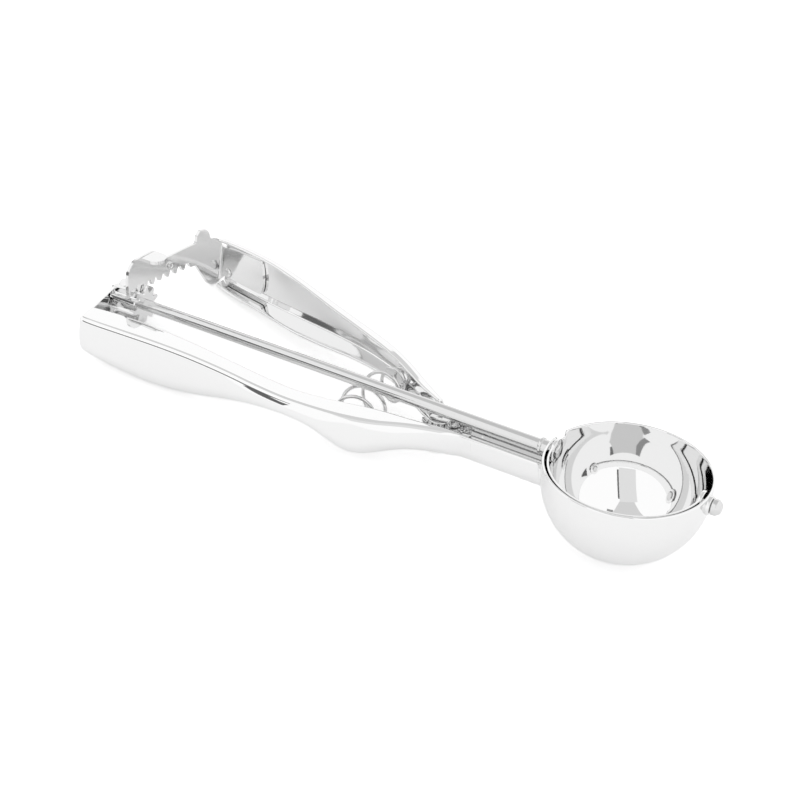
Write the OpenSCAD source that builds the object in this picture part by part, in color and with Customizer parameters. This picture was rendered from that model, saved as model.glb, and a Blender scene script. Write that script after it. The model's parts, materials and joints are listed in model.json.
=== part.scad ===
// Ice cream scoop with squeeze handles, a rack and pinion and a sweeping wiper.
// Working frame: the rod lies on X, the bowl's centre is at X = 0, the lever is on the +Y side.

/* [Bowl] */
// Outer diameter of the bowl
bowl_d = 50; // [46:0.5:56]
// Thickness of the bowl's sheet
bowl_wall = 0.8; // [0.6:0.1:1.2]
// Height of the straight band above the round part
bowl_lip = 4; // [3:0.25:6]
// Height of the rim above the rod's axis
rim_h = 3; // [2.8:0.1:3.6]
// Width of the notch in the rim beside the rod
notch_w = 4.6; // [3:0.1:5]
// Depth of that notch
notch_depth = 2.2; // [1:0.1:2.6]
// Angle of the notch round the rim, from the front
notch_turn = 168; // [160:1:168]

/* [Rod and pinion] */
// Diameter of the drive rod
rod_d = 4; // [3.6:0.1:4.2]
// Diameter of the rod's two journals
journal_d = 2.8; // [2.4:0.1:3]
// Diameter of the peened heads on the rod's ends
rod_head_d = 4.6; // [4:0.1:5.4]
// Height of those heads
rod_head_h = 0.9; // [0.6:0.1:1.4]
// Number of teeth on the pinion
pinion_teeth = 10; // [9:1:11]
// Tooth module of the pinion and the rack
tooth_module = 1.15; // [1.05:0.05:1.25]
// Length of the pinion along the rod
pinion_len = 11; // [9.5:0.5:12]
// Height of a tooth above its pitch line
addendum = 0.85; // [0.7:0.05:0.95]
// Depth of a tooth space below its pitch line
dedendum = 1.2; // [1.05:0.05:1.35]
// Play between a tooth and its space along the pitch line
backlash = 0.6; // [0.4:0.05:0.8]
// Thickness of the washer behind the pinion
pinion_washer_t = 0.5; // [0.3:0.1:0.8]
// Outer diameter of that washer
pinion_washer_d = 7; // [6:0.2:8]

/* [Rack] */
// Distance from the pivot to the rack
rack_r = 118.8; // [116:0.2:121]
// Thickness of the rack's sheet
rack_t = 1.2; // [0.8:0.1:1.5]
// Height of the rack's bar above its tooth roots
rack_bar_h = 4.8; // [4:0.2:6]
// Number of tooth spaces cut in the rack
rack_spaces = 8; // [7:1:9]
// Height of the rack's folded tab above the rod's axis
tab_z = 17; // [16:0.2:18]
// Reach of that tab
tab_reach = 8; // [6:0.5:9]
// Width of that tab
tab_w = 7.2; // [6:0.2:8]
// Height of the rounded hook at the rack's other end
hook_z = 17.4; // [16.4:0.2:18.4]
// Diameter of the round stud on the rack's bar
stud_d = 2.6; // [2:0.1:3.2]
// Length of the rack's tongue inside the lever
tongue_len = 22; // [16:1:28]
// Gap between that tongue and the lever's wall
tongue_gap = 0.15; // [0.1:0.05:0.4]
// Diameter of the rivet through the tongue and the lever
rack_pin_d = 2; // [1.6:0.1:2.4]
// Diameter of that rivet's head
rack_head_d = 3.4; // [2.8:0.1:4]
// Height of that head
rack_head_h = 0.7; // [0.5:0.1:1]

/* [Handles] */
// Distance from the bowl's centre to the pivot
pivot_dist = 62.5; // [60:0.5:66]
// Distance from the pivot to the inside of the end wall
end_reach = 128; // [127:0.5:129.5]
// Lean of the end wall from square to the rod
end_tilt = 11; // [6:0.5:12]
// Diameter of the flat boss round the rod on the end wall
boss_d = 7.6; // [7.2:0.1:8.6]
// Thickness of the handles' sheet
sheet = 1; // [0.8:0.1:1.2]
// Radius of the crease beside a handle's flat flange
crease_r = 1.6; // [1.3:0.1:2.2]
// Largest radius of a handle's rounded edge
belly_r = 5; // [3.5:0.25:6]
// How far a handle's wall leans out below its crease
wall_lean = 2; // [0.5:0.25:3]
// Width of the shank between the pivot and the bowl
shank_w = 10.6; // [9.8:0.2:12]
// Height of the shank
shank_h = 10; // [9.6:0.1:10.6]
// Depth of the shank's upper edge below the rod's axis
shank_drop = 3; // [2.5:0.1:3.4]
// Width of the flange where the shank meets the bowl
saddle_w = 2; // [1:0.25:3]
// Thickness of that flange
saddle_t = 1; // [0.6:0.1:1.4]

/* [Pivot] */
// Diameter of the thick part of the pivot post
post_d = 6.8; // [6:0.2:8]
// Diameter of the post where it passes through the handles
post_pin_d = 4; // [3.4:0.1:4.6]
// Depth of the post's top below the rod's axis
post_drop = 3; // [2.4:0.1:3.6]
// Diameter of the ears round the pivot
ear_d = 13; // [12:0.5:13.5]
// Diameter of the lever's ear
lever_ear_d = 9.4; // [8.8:0.2:9.4]
// Thickness of the washer under the post
post_washer_t = 0.5; // [0.3:0.1:0.8]
// Outer diameter of that washer
post_washer_d = 9; // [8:0.2:9.4]
// Diameter of the post's peened foot
post_foot_d = 6.4; // [5.6:0.2:7.6]
// Height of that foot
post_foot_h = 1; // [0.6:0.1:1.4]

/* [Wiper] */
// Gap between the bowl's wall and the wiper's strip
wiper_gap = 0.7; // [0.5:0.1:1.2]
// Thickness of the wiper's strip
wiper_t = 0.7; // [0.5:0.1:1]
// Width of the strip
wiper_w = 5; // [4:0.2:5.4]
// Diameter of the wiper's two lugs
lug_d = 7.4; // [6.6:0.2:8]
// Thickness of the lugs
lug_t = 1.1; // [0.8:0.1:1.4]
// Outer diameter of the bushing in the bowl's wall
bushing_d = 4.4; // [4:0.1:4.6]
// Length of the bushing outside the bowl
bushing_len = 3; // [2:0.25:4]
// Diameter of the bushing's flange
flange_d = 5.2; // [4.8:0.1:5.6]
// Thickness of that flange
flange_t = 0.9; // [0.6:0.1:1.2]
// Diameter of the front rivet
front_pin_d = 2.4; // [2:0.1:3]
// Diameter of the front rivet's head
front_head_d = 5; // [4.4:0.1:5.6]
// Length of that head
front_head_h = 2.8; // [2:0.1:3.4]
// Thickness of the collar under that head
collar_t = 1; // [0.6:0.1:1.4]
// Diameter of that collar
collar_d = 5.8; // [5:0.1:6.4]

/* [Spring] */
// Diameter of the spring's wire
wire_d = 1.2; // [1:0.1:1.3]

/* [Hidden] */
$fn = 64;

// Running clearance on a radius and small gap between faces
fit = 0.03;
face_gap = 0.1;

bowl_r = bowl_d / 2;
inner_r = bowl_r - bowl_wall;
equator_z = rim_h - bowl_lip;

pitch_r = pinion_teeth * tooth_module / 2;
pitch = PI * tooth_module;
pressure = 20;
root_z = pitch_r + dedendum;
bar_top = root_z + rack_bar_h;
// Place of the rack's first tooth space, along the pitch line from the rod
first_space = 0.8 - pitch;
free_end = first_space - 3.6;
// Near side of the rack's folded tab, beside the rod
tab_y = 0.6;

pivot_x = -pivot_dist;
end_x = pivot_x - end_reach;
pinion_back = end_x + pinion_washer_t + 2 * face_gap;
bushing_x = -bowl_r - bushing_len;
shoulder_x = bushing_x - face_gap;
strip_r = inner_r - wiper_gap;
lug_x = strip_r;
lug_face = lug_x - lug_t;
// Thickness of the boss, which takes up the end wall's lean
boss_t = sheet + boss_d * tan(end_tilt) + 0.05;

// Height of the fixed handle's floor at the pivot, which the lever's floor lies on
floor_z = -12.2;
lever_floor_z = floor_z + sheet + face_gap;
post_base = lever_floor_z + sheet + post_washer_t + 2 * face_gap;

// Stations along a handle. Each row holds the distance from the pivot, the flat flange's edge,
// the crease, the height of the flat flange, the depth of the channel and the narrow flange's edge.
FIXED = [
    [-6.5, 4.1, 5.9, -2.9, 10.0, 0],
    [-4, 4.6, 6.7, -2.8, -2.8 - floor_z, 0],
    [4, 6.6, 9.9, -2.4, -2.4 - floor_z, 0],
    [8, 7.4, 11.8, -2.2, 10.2, 3],
    [14, 8.0, 15.4, -2.0, 12.2, 9],
    [20, 9.8, 18.0, -1.6, 14.0, 13],
    [26, 11.8, 19.8, -1.2, 12.8, 15],
    [34, 14.0, 21.2, -0.8, 7.9, 17],
    [44, 15.8, 22.2, -0.4, 6.4, 18],
    [56, 15.8, 22.2, 0.3, 8.2, 17.5],
    [68, 15.2, 21.6, 1.0, 12.0, 17],
    [82, 14.4, 21.6, 1.8, 15.6, 17],
    [96, 14.2, 22.4, 2.5, 17.2, 17.5],
    [108, 14.8, 23.8, 3.2, 16.4, 18.5],
    [118, 16.2, 25.0, 3.7, 14.8, 20],
    [122, 17.2, 25.2, 3.9, 14.1, 21],
    [124, 18.2, 24.6, 4.0, 13.6, 21]
];
LEVER = [
    [5, 6.0, 11.0, lever_floor_z, 8.4, 8.5],
    [14, 10.5, 16.0, -10.3, 8.7, 12.0],
    [22, 15.0, 20.0, -8.8, 9.2, 15.5],
    [30, 17.6, 23.0, -7.6, 10.2, 18.0],
    [44, 19.4, 26.6, -6.4, 11.6, 21.5],
    [56, 19.4, 28.4, -5.7, 13.6, 23.5],
    [70, 20.8, 30.0, -5.2, 16.6, 26.0],
    [82, 24.2, 31.8, -5.0, 18.4, 28.5],
    [93, 27.2, 34.0, -5.0, 18.8, 31.0],
    [104, 30.2, 36.4, -5.0, 18.4, 33.4],
    [114, 34.0, 38.8, -4.8, 17.4, 35.4]
];
lever_end = 111.6;
// Distance from the pivot to the rivet that joins the rack's tongue to the lever
rivet_at = 108;

// Value of one column between the stations, on a smooth curve
function slope(rows, i, c) =
    let (a = max(i - 1, 0), b = min(i + 1, len(rows) - 1))
    (rows[b][c] - rows[a][c]) / (rows[b][0] - rows[a][0]);
function blend(rows, i, c, d) =
    let (h = rows[i + 1][0] - rows[i][0], t = (d - rows[i][0]) / h)
    (2 * pow(t, 3) - 3 * pow(t, 2) + 1) * rows[i][c]
    + (pow(t, 3) - 2 * pow(t, 2) + t) * h * slope(rows, i, c)
    + (3 * pow(t, 2) - 2 * pow(t, 3)) * rows[i + 1][c]
    + (pow(t, 3) - pow(t, 2)) * h * slope(rows, i + 1, c);
function interval(rows, d, i = 0) =
    i >= len(rows) - 2 || d < rows[i + 1][0] ? i : interval(rows, d, i + 1);
function at(rows, d, c) = blend(rows, interval(rows, d), c, d);

// Points of a round corner at b between a and c
function unit(v) = v / norm(v);
function corner(a, b, c, r, steps) =
    let (u = unit(a - b), v = unit(c - b), half = acos(u * v) / 2)
    let (m = b + unit(u + v) * r / sin(half), p = b + u * r / tan(half), q = b + v * r / tan(half))
    let (start = atan2(p[1] - m[1], p[0] - m[0]), raw = atan2(q[1] - m[1], q[0] - m[0]) - start)
    let (sweep = raw > 180 ? raw - 360 : raw < -180 ? raw + 360 : raw)
    [for (k = [0:steps]) m + r * [cos(start + sweep * k / steps), sin(start + sweep * k / steps)]];

// Outward lean of the wall at a station, less where the handle narrows into the shank
function lean(rows, d) = min(wall_lean, 0.3 * (at(rows, d, 2) - shank_w / 2));

// One wall surface of a channel, set in by inset, as points of distance out and depth
function skin(rows, d, inset) =
    let (lip = at(rows, d, 1), crease = at(rows, d, 2), deep = at(rows, d, 4), foot = at(rows, d, 5))
    let (a = [lip, inset], b = [crease - inset, inset])
    let (c = [crease + lean(rows, d) - inset, deep - inset], e = [foot, deep - inset])
    let (fold = min(crease_r, 0.75 * (crease - lip)))
    let (round = min(belly_r, 0.42 * deep, 0.8 * (crease + lean(rows, d) - foot)) - inset)
    concat([a], corner(a, b, c, fold - inset * 0.9, 3), corner(b, c, e, round, 6), [e]);
function ring(rows, d, up) =
    let (out = skin(rows, d, 0), into = skin(rows, d, sheet), n = len(into))
    let (loop = concat(out, [for (k = [0:n - 1]) into[n - 1 - k]]))
    [for (p = loop) [pivot_x - d, up * p[0], at(rows, d, 3) + up * p[1]]];
function flat_list(lists) = [for (l = lists) for (p = l) p];

// Solid through rings that all have n points. Each end is a strip of four-sided faces, from the
// ring's first and last points to its middle.
module loft(rings) {
    n = len(rings[0]);
    last = len(rings) - 1;
    sides = [for (i = [0:last - 1]) for (k = [0:n - 1])
        let (a = i * n + k, b = i * n + (k + 1) % n, c = a + n, e = b + n)
        each [[a, b, e], [a, e, c]]];
    caps = [for (k = [0:n / 2 - 2]) each [
        [n - 1 - k, n - 2 - k, k + 1, k],
        [for (m = [k, k + 1, n - 2 - k, n - 1 - k]) last * n + m]]];
    polyhedron(flat_list(rings), concat(sides, caps), convexity = 8);
}

fixed_last = FIXED[len(FIXED) - 1][0];
fixed_steps = concat([for (d = [FIXED[0][0]:4:fixed_last - 3]) d], [fixed_last - 1]);
lever_steps = concat([for (d = [LEVER[0][0]:4:lever_end - 2]) d], [lever_end]);
// The last ring leans with the end wall and lies inside it
end_ring = [for (p = ring(FIXED, fixed_last, -1))
    [end_x - sheet / 2 - (p[1] + boss_d / 2) * tan(end_tilt), p[1], p[2]]];
fixed_rings = concat([for (d = fixed_steps) ring(FIXED, d, -1)], [end_ring]);
lever_rings = [for (d = lever_steps) ring(LEVER, d, 1)];

// The scoop lies on a table on three places: the bowl, the fixed handle and the tip of the rack.
// The way up is square to the table through the two points and tangent to the bowl.
tip_out = 34.6;
tip_low = -5;
low_d = 97.5;
fixed_touch = [pivot_x - low_d, -at(FIXED, low_d, 5), at(FIXED, low_d, 3) - at(FIXED, low_d, 4)];
tip_touch = [pivot_x - sqrt(pow(rack_r + rack_t / 2, 2) - pow(tip_out, 2)), tip_out, tip_low];
bowl_centre = [0, 0, equator_z];
edge = unit(tip_touch - fixed_touch);
swing = (bowl_centre - fixed_touch) - ((bowl_centre - fixed_touch) * edge) * edge;
lift = acos(bowl_r / norm(swing));
table_up = cos(lift) * unit(swing) + sin(lift) * cross(unit(swing), edge);
rest_turn = [atan2(table_up[1], table_up[2]), -atan(table_up[0] / norm([table_up[1], table_up[2]])), 0];

// From the working frame to the table, with the origin under the bowl's centre
module placed() {
    translate([0, 0, bowl_r]) rotate(rest_turn) translate(-bowl_centre) children();
}
module along_x(x) {
    translate([x, 0, 0]) rotate([0, 90, 0]) children();
}
module tube(d_out, d_in, h) {
    difference() {
        cylinder(d = d_out, h = h);
        translate([0, 0, -1]) cylinder(d = d_in, h = h + 2);
    }
}
// A low head with a bevelled edge
module head(d, h, side = 0.6, top = 0.72) {
    cylinder(d = d, h = h * side);
    translate([0, 0, h * side]) cylinder(d1 = d, d2 = d * top, h = h * (1 - side));
}

module bowl_form(r, top) {
    intersection() {
        sphere(r, $fn = 120);
        translate([-r - 1, -r - 1, -r - 1]) cube([2 * r + 2, 2 * r + 2, r + 1]);
    }
    cylinder(r = r, h = top, $fn = 120);
}

module bowl() {
    color("silver") placed() difference() {
        translate([0, 0, equator_z]) difference() {
            bowl_form(bowl_r, bowl_lip);
            bowl_form(inner_r, bowl_lip + 1);
        }
        along_x(-bowl_r - 2) cylinder(d = bushing_d + 2 * fit, h = 6);
        along_x(bowl_r - 3) cylinder(d = front_pin_d + 2 * fit, h = 6);
        rotate([0, 0, notch_turn])
            translate([bowl_r - 3, -notch_w / 2, rim_h - notch_depth]) cube([5, notch_w, notch_depth + 1]);
    }
}

// Outline of the shank across the rod, open at the top, set in by inset
module shank_outline(inset) {
    half = shank_w / 2 - inset;
    mid = -shank_drop - shank_h + shank_w / 2;
    translate([0, mid]) circle(r = half);
    translate([-half, mid]) square([2 * half, -shank_drop - mid + (inset > 0 ? 1 : 0)]);
}
module shank() {
    back = pivot_x + 1.5;
    // Room for the lever's ear and floor
    room = [5.6, 2 * shank_w, shank_h];
    room_top = lever_floor_z + sheet + 0.7;
    difference() {
        translate([back, 0, 0]) rotate([90, 0, 90])
            linear_extrude(-back - bowl_r * 0.6) difference() {
                shank_outline(0);
                shank_outline(sheet);
            }
        translate([0, 0, equator_z]) sphere(bowl_r, $fn = 120);
        translate([back - 1, -shank_w, -2 * shank_h]) cube([5, shank_w, 3 * shank_h]);
        translate([back - 1, -shank_w, room_top - shank_h]) cube(room);
    }
}
module saddle() {
    intersection() {
        translate([0, 0, equator_z]) difference() {
            sphere(bowl_r + saddle_t, $fn = 120);
            sphere(bowl_r, $fn = 120);
        }
        translate([-bowl_r - saddle_t - 1, 0, 0]) rotate([90, 0, 90]) linear_extrude(bowl_r)
            intersection() {
                shank_outline(-saddle_w);
                translate([-shank_w, -shank_drop - shank_h * 2]) square([2 * shank_w, shank_h * 2]);
            }
    }
}
module end_wall() {
    top = at(FIXED, fixed_last, 3);
    lip = at(FIXED, fixed_last, 1);
    boss_r = boss_d / 2;
    arm_h = 9;
    arm_reach = 2.5;
    translate([end_x, -boss_r, 0]) rotate([0, 0, end_tilt]) translate([-sheet, boss_r, 0])
        rotate([90, 0, 90]) linear_extrude(sheet) {
            polygon([for (p = skin(FIXED, fixed_last, -fit)) [-p[0], top - p[1]]]);
            translate([-lip - 2, top - arm_h]) square([lip + 2 + arm_reach, arm_h]);
            translate([arm_reach, top - arm_h / 2]) circle(d = arm_h);
        }
    along_x(end_x - boss_t) cylinder(d = boss_d, h = boss_t);
}
module pivot_ear() {
    translate([pivot_x, 0, floor_z]) cylinder(d = ear_d, h = sheet);
}

module fixed_handle() {
    color("silver") placed() difference() {
        union() {
            loft(fixed_rings);
            shank();
            saddle();
            end_wall();
            pivot_ear();
        }
        translate([pivot_x, 0, floor_z - 1]) cylinder(d = post_pin_d + 2 * fit, h = 4);
        along_x(end_x - 4) cylinder(d = journal_d + 2 * fit, h = 6);
    }
}

// Place and turn on the lever's inner wall, with the axis pointing out through the wall
function wall_y(d, z) =
    at(LEVER, d, 2) - sheet
    + lean(LEVER, d) * (z - at(LEVER, d, 3) - sheet) / (at(LEVER, d, 4) - 2 * sheet);
// The same wall, carried on straight past the lever's end
function wall_on(d, z) =
    d < lever_end ? wall_y(d, z)
    : wall_y(lever_end, z) + (d - lever_end) * (wall_y(lever_end, z) - wall_y(lever_end - 1, z));
module on_wall(d, z) {
    turn = atan(wall_y(d + 1, z) - wall_y(d, z));
    tip = atan(wall_y(d, z + 1) - wall_y(d, z));
    translate([pivot_x - d, wall_y(d, z), z]) rotate([0, 0, -turn]) rotate([-90 - tip, 0, 0]) children();
}

module lever_handle() {
    arm_w = 6.8;
    arm_len = 12;
    arm_turn = 130;
    color("gainsboro") placed() difference() {
        union() {
            loft(lever_rings);
            translate([pivot_x, 0, lever_floor_z]) cylinder(d = lever_ear_d, h = sheet);
            translate([pivot_x, 0, lever_floor_z]) rotate([0, 0, arm_turn]) translate([0, -arm_w / 2, 0])
                cube([arm_len, arm_w, sheet]);
        }
        translate([pivot_x, 0, lever_floor_z - 1]) cylinder(d = post_pin_d + 2 * fit, h = 3);
        on_wall(rivet_at, 0) translate([0, 0, -1]) cylinder(d = rack_pin_d + 2 * fit, h = 4);
    }
}

// Turns a place along the rack's pitch line into an angle about the pivot
function rack_turn(s) = -s / rack_r * 180 / PI;

// A flat outline of place along the pitch line and height, stood across the rack at its arc
module on_rack(s) {
    translate([pivot_x, 0, 0]) rotate([0, 0, rack_turn(s)]) translate([-rack_r - 3, 0, 0])
        rotate([90, 0, 90]) linear_extrude(6) children();
}
// The rack's sheet between two heights and two places
module rack_band(s0, s1, z0, z1) {
    translate([pivot_x, 0, z0]) rotate([0, 0, 180 + rack_turn(s1)])
        rotate_extrude(angle = (s1 - s0) / rack_r * 180 / PI, $fn = 360)
            translate([rack_r - rack_t / 2, 0]) square([rack_t, z1 - z0]);
}
function space_half(z) = (pitch + backlash) / 4 + z * tan(pressure);

// The tongue that lies against the lever's inner wall
tongue_start = 112.4;
tongue_low = -1.6;
tongue_high = 9;
tongue_round = 1.8;
function tongue_ring(d, open) =
    let (mid = (tongue_low + tongue_high) / 2, half = (tongue_high - tongue_low) / 2 * open)
    [for (c = [[0, -half], [0, half], [rack_t, half], [rack_t, -half]])
        [pivot_x - d, wall_on(d, mid + c[1]) - tongue_gap - c[0], mid + c[1]]];
tongue_end = tongue_start - tongue_len;
tongue_steps = concat([for (a = [0:15:75]) [tongue_end + tongue_round * (1 - cos(a)), max(0.12, sin(a))]],
    [for (k = [0:6]) [tongue_end + tongue_round + (tongue_len - tongue_round) * k / 6, 1]]);

// Outline of the whole rack, as place beside the rod and height, from the lower free corner
module rack_outline() {
    low = pitch_r - addendum;
    fan = first_space + rack_spaces * pitch - 0.9;
    fan_end = 37.4;
    fan_top = bar_top + 1.3;
    lobe_r = 6;
    polygon(concat([
        [free_end, low], [fan + 1, low], [tip_out - 3.4, tip_low + 1], [tip_out - 2, tip_low],
        [tip_out, tip_low], [fan_end, tongue_low - 2], [fan_end, bar_top], [fan + 9, fan_top],
        // Hook
        [fan + 7.6, fan_top], [fan + 7, hook_z - 1.4], [fan + 5.8, hook_z], [fan + 3.4, hook_z],
        [fan + 2, hook_z - 1.6], [fan + 1.6, fan_top], [fan, fan_top],
        // Top of the bar and the folded tab
        [tab_y + tab_w + 3.4, bar_top + 0.3], [tab_y + tab_w, tab_z]],
        [for (a = [90:10:180]) [free_end + lobe_r, tab_z - lobe_r] + lobe_r * [cos(a), sin(a)]]));
}

module rack() {
    stud_y = 14.6;
    stud_z = 8.9;
    deep = addendum + 0.5;
    color("darkgray") placed() difference() {
        union() {
            intersection() {
                rack_band(free_end - 1, tip_out + 6, tip_low - 1, hook_z + 1);
                translate([end_x, 0, 0]) rotate([90, 0, 90]) linear_extrude(30) rack_outline();
            }
            translate([pivot_x - rack_r, tab_y, tab_z - rack_t]) {
                cube([tab_reach - tab_w / 2, tab_w, rack_t]);
                translate([tab_reach - tab_w / 2, tab_w / 2, 0]) cylinder(d = tab_w, h = rack_t);
            }
            translate([pivot_x - rack_r + 0.9, stud_y, stud_z]) rotate([0, 90, 0])
                cylinder(d = stud_d, h = rack_t);
            loft([for (s = tongue_steps) tongue_ring(s[0], s[1])]);
        }
        for (k = [0:rack_spaces - 1]) on_rack(first_space + k * pitch)
            polygon([[-space_half(deep), pitch_r - deep], [space_half(deep), pitch_r - deep],
                [space_half(-dedendum), root_z], [-space_half(-dedendum), root_z]]);
        on_wall(rivet_at, 0) translate([0, 0, -4]) cylinder(d = rack_pin_d + 2 * fit, h = 5);
    }
}
module rack_rivet() {
    grip = rack_t + tongue_gap + sheet;
    color("gainsboro") placed() on_wall(rivet_at, 0) {
        translate([0, 0, -rack_t - tongue_gap - 2 * fit]) cylinder(d = rack_pin_d, h = grip + fit);
        translate([0, 0, -rack_t - tongue_gap - fit]) rotate([180, 0, 0]) head(rack_head_d, rack_head_h);
    }
}

module drive_rod() {
    color("whitesmoke") placed() {
        along_x(end_x - boss_t - face_gap) rotate([180, 0, 0]) head(rod_head_d, rod_head_h);
        along_x(end_x - boss_t - 2 * face_gap) cylinder(d = journal_d, h = boss_t + 4 * face_gap);
        along_x(end_x + face_gap) cylinder(d = rod_d, h = shoulder_x - end_x - face_gap);
        along_x(shoulder_x - 1) cylinder(d = journal_d, h = 1 - shoulder_x - lug_face + 2 * face_gap);
        along_x(-lug_face + fit) head(rod_head_d, rod_head_h);
    }
}

// Flank of a pinion tooth, as angle about the rod at a radius
function tooth_half(r) =
    ((pitch - backlash) / 4 - (r - pitch_r) * tan(pressure)) / r * 180 / PI;
module pinion() {
    tip = pitch_r + addendum;
    root = pitch_r - dedendum;
    // A tooth stands in the middle of the rack's space nearest the rod
    start = 90 - (first_space + pitch) / pitch_r * 180 / PI;
    color("gainsboro") placed() along_x(pinion_back) linear_extrude(pinion_len) difference() {
        union() {
            circle(r = root);
            for (k = [0:pinion_teeth - 1]) rotate(90 + start + k * 360 / pinion_teeth) {
                polygon([for (p = [[root - 0.4, -1], [pitch_r, -1], [tip, -1], [tip, 1], [pitch_r, 1],
                    [root - 0.4, 1]])
                    p[0] * [cos(p[1] * tooth_half(p[0])), sin(p[1] * tooth_half(p[0]))]]);
            }
        }
        circle(d = rod_d + 2 * fit);
    }
}
module pinion_washer() {
    color("silver") placed() along_x(end_x + face_gap)
        tube(pinion_washer_d, rod_d + 2 * fit, pinion_washer_t);
}
module rod_bushing() {
    reach = lug_x + face_gap;
    color("silver") placed() along_x(bushing_x) {
        tube(bushing_d, journal_d + 2 * fit, -bushing_x - reach);
        tube(flange_d, journal_d + 2 * fit, flange_t);
    }
}

module wiper_blade() {
    color("gainsboro") placed() difference() {
        union() {
            rotate([0, 0, 180]) rotate_extrude(angle = 180, $fn = 120)
                translate([strip_r - wiper_t, -wiper_w / 2]) square([wiper_t, wiper_w]);
            along_x(lug_face) cylinder(d = lug_d, h = lug_t);
            along_x(-lug_x) cylinder(d = lug_d, h = lug_t);
        }
        along_x(-bowl_r) cylinder(d = journal_d + 2 * fit, h = 5);
        along_x(bowl_r - 5) cylinder(d = front_pin_d + 2 * fit, h = 5);
    }
}
module front_rivet() {
    out = bowl_r + collar_t + face_gap;
    inner_head_d = front_pin_d + 1.6;
    inner_head_h = 0.8;
    color("silver") placed() {
        along_x(lug_face - face_gap) rotate([180, 0, 0]) head(inner_head_d, inner_head_h);
        along_x(lug_face - 2 * face_gap) cylinder(d = front_pin_d, h = out - lug_face + 3 * face_gap);
        along_x(out) head(front_head_d, front_head_h, 0.55, 0.6);
    }
}
module front_collar() {
    color("silver") placed() difference() {
        along_x(bowl_r - 0.6) tube(collar_d, front_pin_d + 2 * fit, collar_t + 0.6);
        translate([0, 0, equator_z]) bowl_form(bowl_r + face_gap, bowl_lip + 2);
    }
}

module pivot_post() {
    color("silver") placed() translate([pivot_x, 0, 0]) {
        translate([0, 0, post_base]) cylinder(d = post_d, h = -post_drop - post_base);
        translate([0, 0, floor_z - 2 * face_gap])
            cylinder(d = post_pin_d, h = post_base - floor_z + 3 * face_gap);
        translate([0, 0, floor_z - face_gap]) rotate([180, 0, 0]) head(post_foot_d, post_foot_h);
    }
}
module pivot_washer() {
    color("silver") placed() translate([pivot_x, 0, lever_floor_z + sheet + face_gap])
        tube(post_washer_d, post_pin_d + 2 * fit, post_washer_t);
}

// The spring lies across, under the rod, from the fixed handle's wall to the lever's. Each row holds
// a number of turns, the middle of the coil there, its radius and how far the turn faces round.
COIL = [
    [0, -83.2, -16.83, -8.5, 4.6, 20],
    [1, -83.8, -15.4, -8.5, 4.6, 20],
    [2, -87.2, -10.6, -8.9, 5.4, 15],
    [3, -90.6, -5.0, -9.4, 6.5, 10],
    [4, -91.4, 1.8, -9.6, 6.8, 0],
    [5, -88.8, 9.6, -6.8, 6.2, -10],
    [6, -86.8, 13.0, -4.7, 4.4, -18],
    [7, -85.8, 16.3, -3.9, 2.7, -20],
    [8, -85.4, 19.15, -4.0, 2.5, -20]
];
coil_turns = 8;
turn_steps = 12;
function coil_middle(k) = [at(COIL, k, 1) - pivot_dist + 62.5, at(COIL, k, 2), at(COIL, k, 3)];
function wire_point(k) =
    let (r = at(COIL, k, 4), turn = at(COIL, k, 5), swing = 90 - 360 * k)
    coil_middle(k) + r * [cos(swing) * cos(turn), cos(swing) * sin(turn), sin(swing)];
wire_path = [for (i = [0:coil_turns * turn_steps]) wire_point(i / turn_steps)];

// Rings round the wire, each one's first direction carried on from the ring before
function along(p, i) = unit(p[min(i + 1, len(p) - 1)] - p[max(i - 1, 0)]);
function carry(p, u, i = 0) =
    i == len(p) ? [] : let (t = along(p, i), w = unit(u - (u * t) * t)) concat([w], carry(p, w, i + 1));
function wire_rings(p, r) =
    let (frames = carry(p, [0, 0, 1]))
    [for (i = [0:len(p) - 1]) [for (a = [0:45:315])
        p[i] + r * (frames[i] * cos(a) + cross(frames[i], along(p, i)) * sin(a))]];
module return_spring() {
    color("silver") placed() loft(wire_rings(wire_path, wire_d / 2));
}

bowl();
fixed_handle();
lever_handle();
rack();
rack_rivet();
drive_rod();
pinion();
pinion_washer();
rod_bushing();
wiper_blade();
front_rivet();
front_collar();
pivot_post();
pivot_washer();
return_spring();
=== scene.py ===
import json
import math

import bmesh
import bpy
import numpy as np
from mathutils import Matrix, Vector, geometry


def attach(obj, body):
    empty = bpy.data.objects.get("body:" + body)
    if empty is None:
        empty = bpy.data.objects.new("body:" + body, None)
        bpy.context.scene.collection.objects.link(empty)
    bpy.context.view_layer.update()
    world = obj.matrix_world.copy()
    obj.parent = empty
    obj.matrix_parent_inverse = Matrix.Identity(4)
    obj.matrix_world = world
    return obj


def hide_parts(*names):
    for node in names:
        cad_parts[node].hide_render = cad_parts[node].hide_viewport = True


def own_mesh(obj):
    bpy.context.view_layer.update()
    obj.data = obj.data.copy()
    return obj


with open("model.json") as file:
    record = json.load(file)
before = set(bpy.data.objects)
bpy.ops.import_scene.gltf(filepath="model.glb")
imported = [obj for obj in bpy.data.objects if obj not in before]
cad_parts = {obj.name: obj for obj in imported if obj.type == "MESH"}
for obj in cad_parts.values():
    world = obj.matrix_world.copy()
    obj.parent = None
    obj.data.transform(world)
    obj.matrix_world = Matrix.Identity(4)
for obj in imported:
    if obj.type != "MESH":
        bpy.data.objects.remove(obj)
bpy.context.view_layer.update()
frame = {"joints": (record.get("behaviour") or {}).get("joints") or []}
print("frame loaded")

# Lengths in the dictionaries are millimetres in the scoop's working frame: the rod lies on X,
# the bowl's centre is at X = 0, the lever is on the +Y side and the pivot stands on Z.
# place() takes such points to the table's frame in metres.
joints = {joint["name"]: joint for joint in frame["joints"]}
squeeze, turn = joints["lever_squeeze"], joints["drive_turn"]
mm = 0.001

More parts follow.
